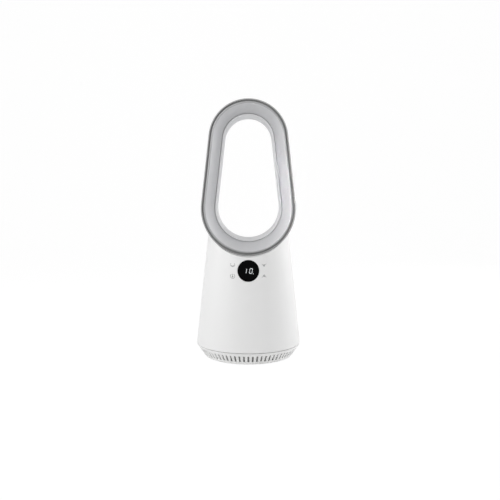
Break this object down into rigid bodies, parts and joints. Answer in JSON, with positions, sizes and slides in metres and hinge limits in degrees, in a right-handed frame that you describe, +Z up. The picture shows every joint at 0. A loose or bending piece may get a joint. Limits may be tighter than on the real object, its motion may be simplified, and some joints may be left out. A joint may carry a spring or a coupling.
{
  "type": "bladeless fan",
  "caption": "Tall bladeless fan: a slotted round base, a conical white body that swings on it, a round display with touch keys, and a tall hollow silver air loop.",
  "frame": {"origin": "on the floor, under the centre of the round base", "axes": "+Z up along the swing axis, -Y towards the front with the display, +X to the right as seen from the front"},
  "size_m": [0.2484, 0.2484, 0.6],
  "materials": {
    "white_shell": "satin white moulding",
    "white_base": "fine matt white moulding",
    "silver_loop": "silver-grey metallic paint, satin",
    "dark_trim": "dark grey, satin",
    "black_gloss": "polished smoked acrylic",
    "black_plastic": "matt moulding",
    "grey_plastic": "matt moulding",
    "ivory_plastic": "natural acetal, smooth",
    "soft_rubber": "matt",
    "steel": "zinc-plated",
    "brass": "turned",
    "laminations": "stacked sheets",
    "copper": "enamelled copper wire",
    "ferrite": "sintered",
    "circuit_board": "green solder mask",
    "wire_cover": "smooth vinyl cover"
  },
  "bodies": {
    "base": {"foot_1": "soft_rubber", "foot_2": "soft_rubber", "foot_3": "soft_rubber", "foot_4": "soft_rubber", "base_plate": "white_base", "base_grille": "white_base", "slide_ring": "ivory_plastic", "power_inlet": "black_plastic", "mains_lead": "wire_cover", "swing_gear": "ivory_plastic", "pivot_nut": "steel", "base_screw_1": "steel", "base_screw_2": "steel", "base_screw_3": "steel"},
    "upper": {"turntable": "white_base", "swing_motor": "steel", "swing_motor_screw_1": "steel", "swing_motor_screw_2": "steel", "lead_clamp": "grey_plastic", "damper_1": "soft_rubber", "damper_2": "soft_rubber", "damper_3": "soft_rubber", "body_shell": "white_shell", "shell_screw_1": "steel", "shell_screw_2": "steel", "shell_screw_3": "steel", "fan_housing": "grey_plastic", "diffuser": "grey_plastic", "bearing_tube": "brass", "bearing_lower": "steel", "bearing_upper": "steel", "motor_board": "circuit_board", "stator_core": "laminations", "stator_coils": "copper", "motor_cap": "grey_plastic", "outlet_duct": "grey_plastic", "neck_gasket": "soft_rubber", "control_board": "circuit_board", "power_lead": "wire_cover", "swing_motor_lead": "wire_cover", "motor_lead": "wire_cover", "display_lead": "wire_cover", "display_window": "black_gloss", "display_board": "circuit_board", "digit_module": "black_plastic", "remote_receiver": "black_plastic", "loop_shell": "silver_loop", "loop_flare": "silver_loop", "loop_tunnel": "silver_loop", "loop_trim": "dark_trim", "loop_screw_1": "steel", "loop_screw_2": "steel", "loop_screw_3": "steel", "loop_screw_4": "steel"},
    "pinion": {"swing_pinion": "brass"},
    "impeller": {"impeller": "ivory_plastic", "impeller_nut": "brass", "impeller_shaft": "steel", "rotor_bell": "steel", "magnet_ring": "ferrite"}
  },
  "joints": [
    {"name": "swing", "type": "hinge", "parent": "base", "child": "upper", "pos_m": [0, 0, 0.031], "axis": [0, 0, 1], "range_deg": [-45, 45]},
    {"name": "pinion_spin", "type": "hinge", "parent": "upper", "child": "pinion", "pos_m": [0, 0.0375, 0.02], "axis": [0, 0, 1], "range_deg": [-116, 116]},
    {"name": "impeller_spin", "type": "hinge", "parent": "upper", "child": "impeller", "pos_m": [0, 0, 0.094], "axis": [0, 0, 1], "continuous": true}
  ],
  "couplings": [
    {"joint": "pinion_spin", "follows": "swing", "ratio": 2.5714}
  ]
}
